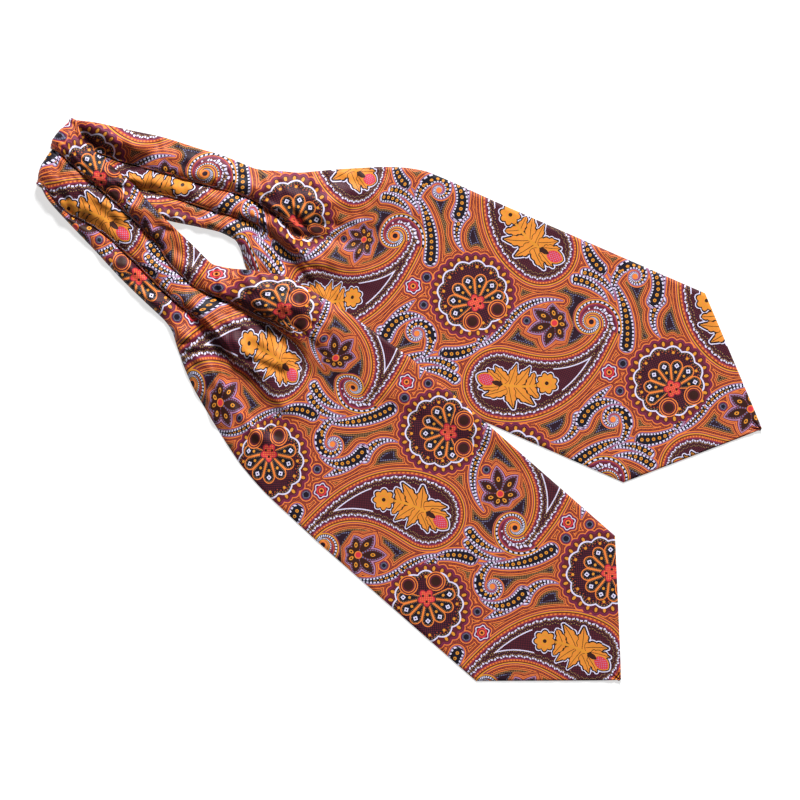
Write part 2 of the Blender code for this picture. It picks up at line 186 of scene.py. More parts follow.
# Of the cloth's width that the pleats hide, the share that lies before the start of each strip, and
# how far the print is drawn on towards the tip. One row is for the fan, and one for the band.
Pleating = namedtuple("Pleating", "first second third lead")
PLEATING = {
    OVER.heading: (Pleating(0.0, 0.0, 1.0, 8.0), Pleating(0.12, 0.5, 0.9, 0.0)),
    UNDER.heading: (Pleating(0.0, 0.1, 0.37, 13.0), Pleating(0.0, 0.17, 0.62, 12.0)),
}


def ease(x):
    """A smooth step from 0 to 1."""
    x = np.clip(x, 0.0, 1.0)
    return x * x * (3.0 - 2.0 * x)


def slopes(places, values):
    """Slopes of a curve through the values that never swings past them."""
    steps = np.diff(places)
    rises = np.diff(values) / steps
    found = np.zeros(len(values))
    found[0] = rises[0]
    found[-1] = rises[-1]
    for i in range(1, len(rises)):
        if rises[i - 1] * rises[i] > 0.0:
            weight_in = 2.0 * steps[i] + steps[i - 1]
            weight_out = steps[i] + 2.0 * steps[i - 1]
            total = weight_in / rises[i - 1] + weight_out / rises[i]
            found[i] = (weight_in + weight_out) / total
    return found


def make_curves(rows):
    """For each column, its values and slopes, with the distance back growing."""
    ordered = sorted(rows, key=lambda row: row.back)
    places = np.array([row.back for row in ordered])
    columns = {}
    for name in Row._fields:
        values = np.array([getattr(row, name) for row in ordered])
        columns[name] = (values, slopes(places, values))
    return places, columns


CURVES = {half.heading: make_curves(half.rows) for half in (OVER, UNDER)}
CREASES = {OVER.heading: OVER_CREASES, UNDER.heading: UNDER_CREASES}


def section(half, back):
    """The table's columns at any distances back from the tip."""
    places, columns = CURVES[half.heading]
    back = np.clip(np.asarray(back, float), places[0], places[-1])
    index = np.clip(np.searchsorted(places, back, side="right") - 1, 0, len(places) - 2)
    span = places[index + 1] - places[index]
    t = (back - places[index]) / span
    found = {}
    for name, (values, rates) in columns.items():
        found[name] = (values[index] * (1 + 2 * t) * (1 - t) ** 2
                       + rates[index] * span * t * (1 - t) ** 2
                       + values[index + 1] * t * t * (3 - 2 * t)
                       + rates[index + 1] * span * t * t * (t - 1))
    return Row(**found)


def to_point(half, row, back):
    """Narrow the sections where the blade comes to its point."""
    left = row.left * np.minimum(1.0, back / half.left_corner)
    right = row.right * np.minimum(1.0, back / half.right_corner)
    scale = (left - right) / (row.left - row.right)
    crease_a = right + (row.crease_a - row.right) * scale
    crease_b = right + (row.crease_b - row.right) * scale
    return row._replace(left=left, right=right, crease_a=crease_a, crease_b=crease_b, run=row.run * scale)


def top_height(row, across):
    """Height of the cloth's top above what it rests on, at places across sections."""
    a_high = row.crease_a + row.run
    b_high = row.crease_b + row.run
    full = FULLNESS * row.puff + ROLL * np.clip((2.0 - row.run) / 1.5, 0.0, 1.0)

    def strip(start, end, low, high):
        part = np.clip((across - start) / np.maximum(end - start, 0.01), 0.0, 1.0)
        return low + (high - low) * part + full * np.sin(math.pi * part ** CREST)

    def step(start):
        return row.low + (row.high - row.low) * ease((across - start) / np.maximum(row.run, 0.01))

    return np.select(
        [across <= row.crease_a, across <= a_high, across <= row.crease_b, across <= b_high],
        [strip(row.right, row.crease_a, row.edge, row.low), step(row.crease_a),
         strip(a_high, row.crease_b, row.high, row.low), step(row.crease_b)],
        strip(b_high, row.left, row.high, row.edge))


def near_path(path, back, across):
    """Distance from a path, positive on its left, and the share of its length passed."""
    steps = [math.dist(a, b) for a, b in zip(path, path[1:])]
    nearest_yet = np.full(np.broadcast(back, across).shape, np.inf)
    signed = np.zeros_like(nearest_yet)
    passed = np.zeros_like(nearest_yet)
    for number, (start, end) in enumerate(zip(path, path[1:])):
        along = ((back - start[0]) * (end[0] - start[0]) + (across - start[1]) * (end[1] - start[1]))
        share = np.clip(along / steps[number] ** 2, 0.0, 1.0)
        off_back = back - start[0] - share * (end[0] - start[0])
        off_across = across - start[1] - share * (end[1] - start[1])
        gap = np.hypot(off_back, off_across)
        closer = gap < nearest_yet
        nearest_yet = np.where(closer, gap, nearest_yet)
        side = off_across * (start[0] - end[0]) - off_back * (start[1] - end[1])
        signed = np.where(closer, np.where(side >= 0.0, gap, -gap), signed)
        passed = np.where(closer, (sum(steps[:number]) + share * steps[number]) / sum(steps), passed)
    return signed, passed


def relief(half, back, across):
    """How far the creases lift or sink the cloth's top, and how far they pull it to the right."""
    change = np.zeros(np.broadcast(back, across).shape)
    pull = np.zeros_like(change)
    for crease in CREASES[half.heading]:
        distance, passed = near_path(crease.path, back, across)
        reach = np.where(distance > 0.0, crease.left_reach, crease.right_reach)
        out = np.abs(distance) / reach
        strength = ease(np.minimum(passed, 1.0 - passed) / CREASE_ENDS)
        change += crease.depth * strength * (RIDGE * np.exp(-((out - 2.1) / 0.8) ** 2) - np.exp(-out ** 2))
        lean = (distance + 0.5 * crease.left_reach) / (1.8 * crease.left_reach)
        pull += crease.fold * strength * np.where(lean > 0.0, lean * np.exp(1.0 - np.maximum(lean, 0.0)), 0.0) ** 2
    swell = FLAT_RIPPLE + (BAND_RIPPLE - FLAT_RIPPLE) * ease((back - FAN_START) / BAND_RUN)
    for ripple in RIPPLES:
        change += swell * np.sin(FULL_TURN * (back / ripple.along + across / ripple.across) + ripple.phase)
    return change, pull


def cloth_top(half, row, back, across):
    """Height of the creased cloth's top above what it rests on."""
    plain = top_height(row, across)
    change, _ = relief(half, back, across)
    return np.maximum(plain + change, np.minimum(plain, THINNEST))


def to_plan(half, back, across):
    """Plan places, in millimetres, of points of a half."""
    turn = math.radians(half.heading)
    x = half.tip_x - back * math.cos(turn) - across * math.sin(turn)
    y = half.tip_y - back * math.sin(turn) + across * math.cos(turn)
    return x, y


def from_plan(half, x, y):
    """Distances back and across of plan places."""
    turn = math.radians(half.heading)
    dx = x - half.tip_x
    dy = y - half.tip_y
    return -dx * math.cos(turn) - dy * math.sin(turn), -dx * math.sin(turn) + dy * math.cos(turn)


def under_height(x, y):
    """Height that the under half holds up at plan places, dying away past its edges."""
    back, across = from_plan(UNDER, x, y)
    row = to_point(UNDER, section(UNDER, back), np.maximum(back, 0.0))
    outside = np.maximum(np.maximum(row.right - across, across - row.left), 0.0)
    inside = np.minimum(np.maximum(across, row.right), row.left)
    held = (cloth_top(UNDER, row, back, inside) + SEAM_GAP) * ease(1.0 - outside / FALL)
    return np.where((back <= 0.0) | (outside >= FALL), 0.0, held)


def rest_height(half, back, x, y):
    """Height of a half's lower face where the cloth lies flat on what is below it."""
    if half is UNDER:
        return np.zeros_like(x)
    held = np.zeros_like(x)
    for dx in (-CLEARING, 0.0, CLEARING):
        for dy in (-CLEARING, 0.0, CLEARING):
            held = np.maximum(held, under_height(x + dx, y + dy))
    from_fold = OVER_ROWS[0].back - back
    return np.maximum(held, STAND_OFF * ease(1.0 - from_fold / STAND_OFF_RUN))


def row_places(end, corners):
    """Distances back of the sections, close together where the cloth fans out."""
    places = [TIP]
    while places[-1] < end:
        spacing = [gap for beyond, gap in ROW_SPACING if places[-1] >= beyond][-1]
        places.append(places[-1] + spacing)
    places[-1] = end
    near = [p for p in places if all(abs(p - c) > 0.5 for c in corners)]
    return np.array(sorted(near + list(corners)))


def pleating(half, back):
    """How the print lies in the pleats at distances back."""
    into_band = ease((back - FAN_END) / BAND_RUN)
    fan, band = PLEATING[half.heading]
    lay = Pleating(*[a + (b - a) * into_band for a, b in zip(fan, band)])
    return lay._replace(lead=lay.lead * ease((back - FAN_START) / FAN_RUN))


def print_place(half, row, lay, strip, part):
    """Distance across the flat cloth from its right edge, at a part of a strip between pleats."""
    starts = [row.right, row.crease_a + row.run, row.crease_b + row.run]
    ends = [row.crease_a, row.crease_b, row.left]
    hidden = np.maximum(half.width - (row.left - row.right), 0.0)
    shrink = np.minimum(half.width / (row.left - row.right), 1.0)
    here = starts[strip] - row.right + (ends[strip] - starts[strip]) * part
    return here * shrink + hidden * lay[strip]


def side_profile(layers):
    """Points down a side edge: how far out each stands, and its share of the way down."""
    points = []
    for layer in range(layers):
        for step in range(1, 6):
            angle = math.pi * step / 6
            points.append((math.sin(angle), (layer + 0.5 - 0.5 * math.cos(angle)) / layers))
        points.append((0.0, (layer + 1.0) / layers))
    return points[:-1]


def surface(half, back):
    """Sections of a half as closed rings: plan places, heights and print places, row by row."""
    full_row = section(half, back[:, None])
    row = to_point(half, full_row, back[:, None])
    middle = 0.5 * (row.left + row.right)
    width = row.left - row.right
    lay = pleating(half, back[:, None])
    across = []
    place = []
    spans = [(row.right, row.crease_a), (row.crease_a + row.run, row.crease_b),
             (row.crease_b + row.run, row.left)]
    for strip, (start, end) in enumerate(spans):
        span = end - start
        for step in range(STRIP_STEPS + 1):
            part = step / STRIP_STEPS
            across.append(start + span * part)
            place.append(print_place(half, row, lay, strip, part))
        if strip == 2:
            break
        before = place[-1]
        after = print_place(half, row, lay, strip + 1, 0.0)
        for step in range(1, LIP_STEPS):
            part = step / LIP_STEPS
            across.append(end + row.run * part)
            place.append(before + (after - before) * part)
    across = np.concatenate(across, axis=1)
    place = np.concatenate(place, axis=1)
    cut = back[:, None] < max(half.left_corner, half.right_corner)
    place = np.where(cut, across - full_row.right, place)
    return row, middle, width, across, place


def build_half(half, name, end, with_nose):
    """One half of the cloth as a closed shell with its print's places at its points."""
    back = row_places(end, (half.left_corner, half.right_corner))
    row, middle, width, across, place = surface(half, back)
    height = cloth_top(half, row, back[:, None], across)

    # each free edge is rounded over
    edge_scale = np.minimum(width / 20.0, 1.0)
    for side in (row.right, row.left):
        from_edge = np.abs(across - side) / np.maximum(edge_scale, 0.05)
        reach = [p for p, _ in EDGE]
        fall = [d for _, d in EDGE]
        height = height - np.interp(from_edge, reach, fall) * edge_scale

    # each pleat's upper fold overhangs the strip below it
    sharp = np.clip((2.0 - row.run) / 1.5, 0.0, 1.0)
    _, pull = relief(half, back[:, None], across)
    edge_room = np.minimum(across - row.right, row.left - across)
    shift = -pull * ease(edge_room / 6.0)
    for start in (row.crease_a, row.crease_b):
        part = (across - start) / np.maximum(row.run, 0.01)
        shift -= sharp * LIP_BULGE * np.where((part > 0) & (part < 1), np.sin(math.pi * np.clip(part, 0, 1)), 0.0)
        near = np.exp(-((across - start) / LIP_REACH) ** 2) * (across <= start)
        height = height - sharp * LIP_DIP * near
    across_top = across + shift
    height = np.maximum(height, np.minimum(top_height(row, across), THINNEST) * edge_scale)

    back_top = back[:, None] + row.slant * (across_top - middle)
    x, y = to_plan(half, back_top, across_top)
    rest = rest_height(half, back[:, None] + 0.0 * across, x, y)
    top = np.stack([x, y, rest + height], axis=-1)
    top_cloth = np.stack([back_top, place], axis=-1)

    # the lower face
    parts = np.arange(BOTTOM_STEPS + 1) / BOTTOM_STEPS
    low_across = row.right + width * parts[None, :]
    low_back = back[:, None] + row.slant * (low_across - middle)
    bx, by = to_plan(half, low_back, low_across)
    low_rest = rest_height(half, back[:, None] + 0.0 * low_across, bx, by)
    low_height = np.maximum(cloth_top(half, row, back[:, None], low_across) - row.wall, 0.0)
    bottom = np.stack([bx, by, low_rest + low_height], axis=-1)
    low_place = place[:, :1] + (place[:, -1:] - place[:, :1]) * parts[None, :]
    bottom_cloth = np.stack([low_back, low_place], axis=-1)

    # the two side edges, each a stack of rounded layers
    turn = math.radians(half.heading)
    outward = np.array([-math.sin(turn), math.cos(turn), 0.0])
    profile = side_profile(2)

    def side(upper, lower, cloth, sign):
        points = []
        cloths = []
        for out, down in profile:
            point = upper * (1.0 - down) + lower * down
            points.append(point + sign * LAYER_BULGE * out * outward * edge_scale)
            cloths.append(cloth + np.stack([0.0 * cloth[:, 0], 0.0 * cloth[:, 0] + sign * 1.5 * down], axis=-1))
        return np.stack(points, axis=1), np.stack(cloths, axis=1)

    left, left_cloth = side(top[:, -1], bottom[:, -1], top_cloth[:, -1], 1.0)
    right, right_cloth = side(top[:, 0], bottom[:, 0], top_cloth[:, 0], -1.0)
    rings = np.concatenate([top, left, bottom[:, ::-1], right[:, ::-1]], axis=1)
    cloth = np.concatenate([top_cloth, left_cloth, bottom_cloth[:, ::-1], right_cloth[:, ::-1]], axis=1)
    if with_nose:
        rings, cloth = add_nose(half, rings, cloth, top.shape[1], left.shape[1])
    return make_shell(name, rings, print_uv(half, cloth))


def print_uv(half, cloth):
    """Where on the print each point of the cloth lies, in millimetres of the repeat."""
    back = cloth[..., 0] + pleating(half, cloth[..., 0]).lead
    across = cloth[..., 1] - half.middle
    if half is OVER:
        return np.stack([back - half.shift, -(across + OVER_PRINT_SHIFT), 0.0 * back], axis=-1)
    return np.stack([half.shift - back, across, 0.0 * back], axis=-1)


def add_nose(half, rings, cloth, top_count, side_count):
    """The neckband's turn at the fold, from the over half's end round to the table."""
    last = rings[-1]
    first_point = last[0]
    last_point = last[top_count - 1]
    chord = last_point - first_point
    length = math.hypot(chord[0], chord[1])
    normal = np.array([-chord[1], chord[0]]) / length
    centre = 0.5 * (STAND_OFF + UNDER_ROWS[0].high)
    count = rings.shape[1]
    # share of the way from the outer face to the inner one, at each point of the ring
    inner_share = np.zeros(count)
    inner_share[top_count:top_count + side_count] = np.linspace(0, 1, side_count + 2)[1:-1]
    inner_share[top_count + side_count:count - side_count] = 1.0
    inner_share[count - side_count:] = np.linspace(1, 0, side_count + 2)[1:-1]
    along = np.hypot(last[:, 0] - first_point[0], last[:, 1] - first_point[1]) / length
    bow = FOLD_BOW * np.sin(math.pi * np.clip(along, 0.0, 1.0))
    new_rings = []
    new_cloth = []
    for step in range(1, FOLD_STEPS + 1):
        turned = step / FOLD_STEPS
        angle = math.pi * turned
        settled = centre * (1.0 - inner_share) + (STAND_OFF - centre) * inner_share
        radius = (last[:, 2] - centre) * (1.0 - turned) + settled * turned
        out = (radius + bow) * math.sin(angle)
        ring = last.copy()
        ring[:, 0] += normal[0] * out
        ring[:, 1] += normal[1] * out
        ring[:, 2] = np.maximum(centre + radius * math.cos(angle), 0.0)
        new_rings.append(ring)
        shifted = cloth[-1].copy()
        shifted[:, 0] += 4.0 * angle
        new_cloth.append(shifted)
    return np.concatenate([rings, np.array(new_rings)]), np.concatenate([cloth, np.array(new_cloth)])


def make_shell(name, rings, uv):
    """A closed mesh through rings of points, with a fan of faces over each end."""
    rows, count, _ = rings.shape
    points = rings.reshape(-1, 3) * MM
    i = np.arange(rows - 1)[:, None] * count
    j = np.arange(count)[None, :]
    k = (j + 1) % count
    quads = np.stack([i + j, i + k, i + count + k, i + count + j], axis=-1).reshape(-1, 4)
    ends = []
    places = uv.reshape(-1, 3)
    for row, flip in ((0, False), (rows - 1, True)):
        centre = len(points)
        points = np.concatenate([points, rings[row].mean(axis=0, keepdims=True) * MM])
        places = np.concatenate([places, uv[row].mean(axis=0, keepdims=True)])
        ring = row * count + np.arange(count)
        after = np.roll(ring, -1)
        fan = np.stack([ring, np.full(count, centre), after], axis=-1)
        ends += [tuple(face[::-1]) if flip else tuple(face) for face in fan.tolist()]
    data = bpy.data.meshes.new(name)
    data.from_pydata(points.tolist(), [], quads.tolist() + ends)
    data.validate()
    data.shade_smooth()
    attribute = data.attributes.new("print", "FLOAT_VECTOR", "POINT")
    attribute.data.foreach_set("vector", places.astype(np.float32).ravel())
    piece = bpy.data.objects.new(name, data)
    bpy.context.scene.collection.objects.link(piece)
    return piece


# Inks of the print
(GROUND, ORANGE, GOLD, BURGUNDY, PLUM, NAVY, WHITE, STEEL, RED, MAGENTA, BROWN, TAN,
 LILAC) = range(13)
INKS = 16
INK_COLOURS = {
    GROUND: (160, 68, 42), ORANGE: (222, 122, 56), GOLD: (208, 136, 46), BURGUNDY: (90, 32, 42),
    PLUM: (40, 20, 32), NAVY: (24, 20, 32), WHITE: (208, 202, 228), STEEL: (106, 108, 140),
    RED: (198, 52, 62), MAGENTA: (122, 42, 76), BROWN: (52, 26, 22), TAN: (146, 108, 70),
    LILAC: (168, 122, 158),
}


class Field:
    """A number at each place of the cloth, worked out by the shader's Math nodes."""

    def __init__(self, tree, socket):
        self.tree = tree
        self.socket = socket

    def __add__(self, other):
        return op("ADD", self, other)

    def __sub__(self, other):
        return op("SUBTRACT", self, other)

    def __rsub__(self, other):
        return op("SUBTRACT", other, self)

    def __mul__(self, other):
        return op("MULTIPLY", self, other)

    def __truediv__(self, other):
        return op("DIVIDE", self, other)

    def __neg__(self):
        return op("MULTIPLY", self, -1.0)

    __radd__ = __add__
    __rmul__ = __mul__


def op(name, *values):
    """One Math node."""
    tree = next(value.tree for value in values if isinstance(value, Field))
    node = tree.nodes.new("ShaderNodeMath")
    node.operation = name
    for socket, value in zip(node.inputs, values):
        if isinstance(value, Field):
            tree.links.new(value.socket, socket)
        else:
            socket.default_value = value
    return Field(tree, node.outputs[0])


REPEAT_U = 167.0
REPEAT_V = 218.0
GLIDE = 109.0
FAR = 60.0

# Places of motifs in the repeat, in millimetres of cloth
BOTEH_HEAD = (6.0, -50.0)
BOTEH_RADIUS = 28.6
BOTEH_BEND = 74.0
BOTEH_START = math.radians(-80.0)
BEND_CENTRE = (BOTEH_HEAD[0] - BOTEH_BEND * math.cos(BOTEH_START),
               BOTEH_HEAD[1] - BOTEH_BEND * math.sin(BOTEH_START))
TAIL_HALF = 7.8
HOOK_RADIUS = 15.2
HOOK_CENTRE = (BEND_CENTRE[0] + BOTEH_BEND - HOOK_RADIUS, BEND_CENTRE[1])
HOOK_RATE = 0.185
TAIL_LENGTH = BOTEH_BEND * math.radians(80.0)
PALMETTE = (-41.0, 4.5)
PALMETTE_RADIUS = 33.0
FAN_BASE = (-36.0, 0.5)
FAN_AXIS = math.radians(135.0)
PETAL_TURN = math.radians(31.6)
PETALS = 7
DISCS = [(-19.0, 2.5), (-33.0, -14.0)]
ROSETTE = (26.0, 10.5)
ROSETTE_AXIS = math.radians(221.0)
CURL = (-69.0, -40.0)
CURL_RADIUS = 11.0
CURL_RATE = 0.20
BEAD = (-86.5, -7.5)

# Scroll leaves: the round end, the middle and the point of each, and its half width
LEAVES = [
    ((-82.5, 17.0), (-90.0, 35.0), (-118.0, 62.0), 5.4),
    ((-77.0, 57.0), (-78.0, 70.0), (-86.0, 92.0), 5.4),
    ((-71.5, 60.0), (-72.5, 45.0), (-61.0, 33.5), 3.6),
    ((-90.5, -51.0), (-86.0, -35.5), (-68.0, -26.5), 5.4),
    ((-58.5, -37.0), (-55.5, -48.0), (-61.0, -62.0), 3.4),
    ((-42.0, -45.5), (-31.0, -39.5), (-17.0, -19.0), 5.2),
    ((-21.0, -25.0), (-21.5, -12.0), (-26.5, 6.0), 2.9),
    ((-7.0, -2.0), (-12.5, -19.0), (-24.0, -34.0), 3.0),
    ((-6.0, 1.0), (4.5, 18.5), (25.0, 29.0), 3.0),
    ((-32.0, -53.0), (-44.0, -52.5), (-62.0, -63.0), 3.6),
    ((-27.5, -60.5), (-40.0, -59.5), (-58.0, -67.0), 4.2),
]
# Pairs of leaves of the spray, along the boteh's axis and to one side: the round end, the point and
# the half width of each
SPRAY_LEAVES = [
    ((24.0, 2.0), (28.5, 9.5), 2.7),
    ((15.0, 3.6), (25.0, 14.5), 3.5),
    ((8.0, 3.2), (12.0, 17.0), 3.4),
    ((2.5, 5.0), (-8.0, 12.0), 3.2),
    ((-3.0, 3.4), (-13.0, 7.6), 1.9),
]
# Small dark islands in the ground, and the radius of each
ISLANDS = [
    ((-79.5, 3.0), 3.6),
    ((-15.0, -8.5), 3.0),
    ((5.5, 3.5), 3.0),
    ((-73.0, -17.5), 3.2),
]
FULL = 2 * math.pi


def smaller(*fields):
    result = fields[0]
    for field in fields[1:]:
        result = op("MINIMUM", result, field)
    return result


def larger(a, b):
    return op("MAXIMUM", a, b)


def length(x, y):
    return op("SQRT", op("MULTIPLY_ADD", x, x, y * y))


def wrap(x, period):
    return op("WRAP", x, period / 2, -period / 2)


def line(d, at, width):
    return op("COMPARE", d, at, width / 2)


def below(a, b):
    return op("LESS_THAN", a, b)


def above(a, b):
    return op("GREATER_THAN", a, b)


def size(x):
    return op("ABSOLUTE", x)


def choose(where, yes, no):
    return op("MULTIPLY_ADD", where, yes - no, no)


def dash(t, pitch, share):
    return below(op("PINGPONG", t, pitch / 2), pitch / 2 * share)


def scallop(t, pitch):
    """0 at the points between scallops, 1 on their crowns."""
    return size(op("SINE", t * (math.pi / pitch)))


def dots(x, y, pitch, radius):
    """Round dots on a diagonal grid."""
    a = op("PINGPONG", x, pitch / 2)
    b = op("PINGPONG", y, pitch / 2)
    c = pitch / 2 - a
    d = pitch / 2 - b
    return below(smaller(op("MULTIPLY_ADD", a, a, b * b), op("MULTIPLY_ADD", c, c, d * d)), radius * radius)


class Cloth:
    """The design's ink at each place, as layers are laid over each other."""
    def __init__(self, ink):
        self.ink = ink

    def lay(self, where, ink):
        self.ink = op("MULTIPLY_ADD", where, ink - self.ink, self.ink)


def nearest(u, v, centre):
    """A place as seen from the nearest copy of a motif, in either of its two hands."""
    x1 = wrap(u - centre[0], REPEAT_U)
    y1 = wrap(v - centre[1], REPEAT_V)
    x2 = wrap(u * -1.0 - centre[0], REPEAT_U)
    y2 = wrap(v - (GLIDE + centre[1]), REPEAT_V)
    first = below(op("MULTIPLY_ADD", x1, x1, y1 * y1), op("MULTIPLY_ADD", x2, x2, y2 * y2))
    return choose(first, x1, x2), choose(first, y1, y2)


def boteh_shape(x, y):
    """Distance outside a boteh's edge, and lengths round it, along its bent axis and across it."""
    reach = length(x, y)
    angle = op("ARCTAN2", y, x)
    along = (angle - BOTEH_START) * BOTEH_BEND
    across = reach - BOTEH_BEND
    share = op("MINIMUM", larger((angle - BOTEH_START) / -BOTEH_START, 0.0), 1.0)
    taper = 0.5 * (BOTEH_RADIUS - TAIL_HALF)
    half_width = op("MULTIPLY_ADD", op("COSINE", share * math.pi), taper, taper + TAIL_HALF)
    band = size(across) - half_width
    hx = x - (BOTEH_HEAD[0] - BEND_CENTRE[0])
    hy = y - (BOTEH_HEAD[1] - BEND_CENTRE[1])
    head = length(hx, hy) - BOTEH_RADIUS
    around = op("ARCTAN2", hy, hx)
    in_band = above(angle, BOTEH_START)
    edge = choose(in_band, band, head)
    edge = choose(above(angle, 0.0), FAR, edge)
    t = choose(in_band, along, (around - BOTEH_START) * BOTEH_RADIUS)
    return edge, t, along, across


def spiral_shape(x, y, radius, rate, half_share):
    """Distance outside a spiral arm, signed place across it, and how many radians it has turned."""
    reach = length(x, y)
    angle = op("ARCTAN2", y, x)
    turn = op("LOGARITHM", reach / radius, math.e) * (-1.0 / rate)
    arm = wrap(turn - angle, FULL)
    across = arm * reach * rate
    edge = size(across) - reach * half_share
    turned = turn - arm
    return choose(below(turned, 0.0), FAR, edge), across, turned, reach


def arc_through(bulb, middle, point):
    """Centre of the circle through three places."""
    ax, ay = bulb
    bx, by = middle
    cx, cy = point
    d = 2 * (ax * (by - cy) + bx * (cy - ay) + cx * (ay - by))
    a2, b2, c2 = ax * ax + ay * ay, bx * bx + by * by, cx * cx + cy * cy
    return ((a2 * (by - cy) + b2 * (cy - ay) + c2 * (ay - by)) / d,
            (a2 * (cx - bx) + b2 * (ax - cx) + c2 * (bx - ax)) / d)


def leaf_shape(u, v, bulb, middle, point, half_width):
    """Distance outside a curved leaf, and lengths along and across it."""
    cx, cy = arc_through(bulb, middle, point)
    radius = math.hypot(bulb[0] - cx, bulb[1] - cy)
    start = math.atan2(bulb[1] - cy, bulb[0] - cx)
    end = math.atan2(point[1] - cy, point[0] - cx)
    turn = (end - start + math.pi) % FULL - math.pi
    way = 1.0 if turn > 0 else -1.0
    span = abs(turn) * radius
    x, y = nearest(u, v, middle)
    # turned so that the round end lies on the x axis, seen from the arc's centre
    c, s = math.cos(start), math.sin(start)
    ox, oy = middle[0] - cx, middle[1] - cy
    turned_x = op("MULTIPLY_ADD", x, c, y * s + (ox * c + oy * s))
    turned_y = op("MULTIPLY_ADD", y, way * c, x * (-way * s) + way * (oy * c - ox * s))
    across = length(turned_x, turned_y) - radius
    along = op("ARCTAN2", turned_y, turned_x) * radius
    share = op("MINIMUM", larger(along / span, 0.0), 1.0)
    width = (1.0 - share * share) * half_width
    past = op("MINIMUM", along, 0.0)
    over = larger(along - span, 0.0)
    edge = length(across, past + over) - width
    return edge, along, across


def drop_shape(x, y, start, end, half_width):
    """Distance outside a drop that is round at its start and pointed at its end."""
    span = math.dist(start, end)
    c, s = (end[0] - start[0]) / span, (end[1] - start[1]) / span
    along = op("MULTIPLY_ADD", x - start[0], c, (y - start[1]) * s)
    across = op("MULTIPLY_ADD", y - start[1], c, (x - start[0]) * -s)
    share = op("MINIMUM", larger(along / span, 0.0), 1.0)
    width = (1.0 - share * share) * half_width
    past = op("MINIMUM", along, 0.0) + larger(along - span, 0.0)
    return length(across, past) - width, along, across


def lens(x, y, centre, half_length, half_width):
    """Distance outside a lens, pointed at both ends along x."""
    radius = (half_length ** 2 + half_width ** 2) / (2.0 * half_width)
    return length(x - centre, size(y) + (radius - half_width)) - radius


